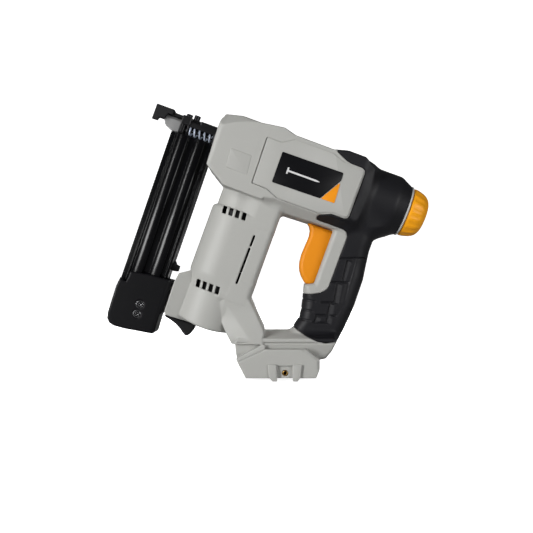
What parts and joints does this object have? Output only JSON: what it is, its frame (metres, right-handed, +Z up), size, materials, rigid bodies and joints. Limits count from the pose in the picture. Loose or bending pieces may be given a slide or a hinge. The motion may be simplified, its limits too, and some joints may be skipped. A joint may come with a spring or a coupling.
{
  "type": "cordless brad nailer",
  "caption": "Cordless brad nailer on a level battery foot: clamshell body, soft grip, side magazine, sliding contact trip, trigger, power knob, motor, gears, piston and driver.",
  "frame": {"origin": "centre of the overall box, at the level of the foot's underside", "axes": "+Z up with the tool standing on its battery foot, the nose towards -X and the power knob towards +X; +Y is the side that holds the housing screw heads; the drive axis leans 20 degrees, nose up"},
  "size_m": [0.2928, 0.0764, 0.248],
  "materials": {
    "grey_plastic": "satin",
    "soft_grip": "matte, ribbed",
    "orange_plastic": "satin",
    "black_plastic": "satin",
    "black_metal": "black anodised",
    "label_dark": "printed film",
    "silver_metal": "cast",
    "steel": "machined",
    "zinc_screw": "black zinc",
    "brass": "machined",
    "copper": "plated",
    "board_green": "solder mask",
    "rubber": "matte",
    "white_plastic": "satin"
  },
  "bodies": {
    "tool_body": {"housing_left": "grey_plastic", "housing_right": "grey_plastic", "grip_left": "soft_grip", "grip_right": "soft_grip", "side_label_left": "label_dark", "side_label_right": "label_dark", "housing_screw_1": "zinc_screw", "housing_screw_2": "zinc_screw", "housing_screw_3": "zinc_screw", "housing_screw_4": "zinc_screw", "housing_screw_5": "zinc_screw", "housing_screw_6": "zinc_screw", "housing_screw_7": "zinc_screw", "hook_insert_left": "brass", "hook_insert_right": "brass", "ring_gear": "steel", "gear_plate": "silver_metal", "motor_can": "steel", "motor_bearing": "steel", "cylinder_tube": "silver_metal", "bumper": "rubber", "main_spring": "steel", "knob_collar": "white_plastic", "nose_block": "black_metal", "nose_plate": "silver_metal", "nose_screw_1": "zinc_screw", "nose_screw_2": "zinc_screw", "trip_rod": "silver_metal", "trip_spring": "silver_metal", "magazine_rail": "black_metal", "trigger_pin": "steel", "trigger_switch": "black_plastic", "control_board": "board_green", "battery_rail": "black_plastic", "terminal_block": "black_plastic", "terminal_positive": "copper", "terminal_negative": "copper"},
    "motor_rotor": {"motor_rotor": "steel", "motor_fan": "black_plastic"},
    "planet_carrier": {"planet_carrier": "steel"},
    "planet_1": {"planet_gear_1": "steel"},
    "planet_2": {"planet_gear_2": "steel"},
    "planet_3": {"planet_gear_3": "steel"},
    "lifter": {"lifter_wheel": "steel"},
    "piston": {"piston": "silver_metal", "driver_blade": "steel", "piston_seal": "rubber"},
    "contact_trip": {"contact_trip": "black_metal", "no_mar_tip": "rubber"},
    "magazine_slide": {"magazine_cover": "black_metal", "magazine_end_cap": "black_plastic", "end_cap_screw_1": "zinc_screw", "end_cap_screw_2": "zinc_screw"},
    "pusher": {"nail_pusher": "steel", "pusher_spring_roll": "steel"},
    "latch": {"magazine_latch": "black_plastic"},
    "trigger": {"trigger": "orange_plastic"},
    "switch_plunger": {"switch_plunger": "white_plastic"},
    "power_knob": {"power_knob": "orange_plastic"},
    "spring_plate": {"spring_plate": "steel"}
  },
  "joints": [
    {"name": "motor_spin", "type": "hinge", "parent": "tool_body", "child": "motor_rotor", "pos_m": [-0.02872, 0, 0.14252], "axis": [-0.342, 0, -0.9397], "range_deg": [0, 1733]},
    {"name": "carrier_spin", "type": "hinge", "parent": "tool_body", "child": "planet_carrier", "pos_m": [-0.01504, 0, 0.18011], "axis": [-0.342, 0, -0.9397], "range_deg": [0, 433.5]},
    {"name": "planet_1_spin", "type": "hinge", "parent": "planet_carrier", "child": "planet_1", "pos_m": [-0.00831, 0, 0.16701], "axis": [-0.342, 0, -0.9397], "range_deg": [-1300.5, 0]},
    {"name": "planet_2_spin", "type": "hinge", "parent": "planet_carrier", "child": "planet_2", "pos_m": [-0.02354, 0.00935, 0.17256], "axis": [-0.342, 0, -0.9397], "range_deg": [-1300.5, 0]},
    {"name": "planet_3_spin", "type": "hinge", "parent": "planet_carrier", "child": "planet_3", "pos_m": [-0.02354, -0.00935, 0.17256], "axis": [-0.342, 0, -0.9397], "range_deg": [-1300.5, 0]},
    {"name": "lifter_turn", "type": "hinge", "parent": "tool_body", "child": "lifter", "pos_m": [-0.01162, 0.016, 0.1895], "axis": [0.342, 0, 0.9397], "range_deg": [0, 260.2]},
    {"name": "piston_stroke", "type": "slide", "parent": "tool_body", "child": "piston", "axis": [0.9397, 0, -0.342], "range_m": [0, 0.05], "deforming": ["main_spring"]},
    {"name": "contact_trip_slide", "type": "slide", "parent": "tool_body", "child": "contact_trip", "axis": [0.9397, 0, -0.342], "range_m": [0, 0.007], "deforming": ["trip_spring"]},
    {"name": "magazine_open", "type": "slide", "parent": "tool_body", "child": "magazine_slide", "axis": [-0.3256, 0, -0.9455], "range_m": [0, 0.095]},
    {"name": "pusher_travel", "type": "slide", "parent": "magazine_slide", "child": "pusher", "axis": [-0.3256, 0, -0.9455], "range_m": [0, 0.1]},
    {"name": "latch_slide", "type": "slide", "parent": "tool_body", "child": "latch", "axis": [0.9397, 0, -0.342], "range_m": [0, 0.005]},
    {"name": "trigger_pull", "type": "hinge", "parent": "tool_body", "child": "trigger", "pos_m": [0.05992, 0, 0.12409], "axis": [0, -1, 0], "range_deg": [0, 5]},
    {"name": "plunger_press", "type": "slide", "parent": "tool_body", "child": "switch_plunger", "axis": [0.9397, 0, -0.342], "range_m": [0, 0.0024]},
    {"name": "knob_turn", "type": "hinge", "parent": "tool_body", "child": "power_knob", "pos_m": [0.12806, 0, 0.14931], "axis": [0.9397, 0, -0.342], "range_deg": [0, 300]},
    {"name": "spring_plate_travel", "type": "slide", "parent": "tool_body", "child": "spring_plate", "axis": [0.9397, 0, -0.342], "range_m": [0, 0.0051]}
  ],
  "couplings": [
    {"joint": "carrier_spin", "follows": "motor_spin", "ratio": 0.25},
    {"joint": "planet_1_spin", "follows": "motor_spin", "ratio": -0.75},
    {"joint": "planet_2_spin", "follows": "motor_spin", "ratio": -0.75},
    {"joint": "planet_3_spin", "follows": "motor_spin", "ratio": -0.75},
    {"joint": "lifter_turn", "follows": "motor_spin", "ratio": 0.15},
    {"joint": "piston_stroke", "follows": "motor_spin", "m_per_rad": 0.00165},
    {"joint": "plunger_press", "follows": "trigger_pull", "m_per_rad": 0.0265},
    {"joint": "spring_plate_travel", "follows": "knob_turn", "m_per_rad": 0.00095493}
  ]
}
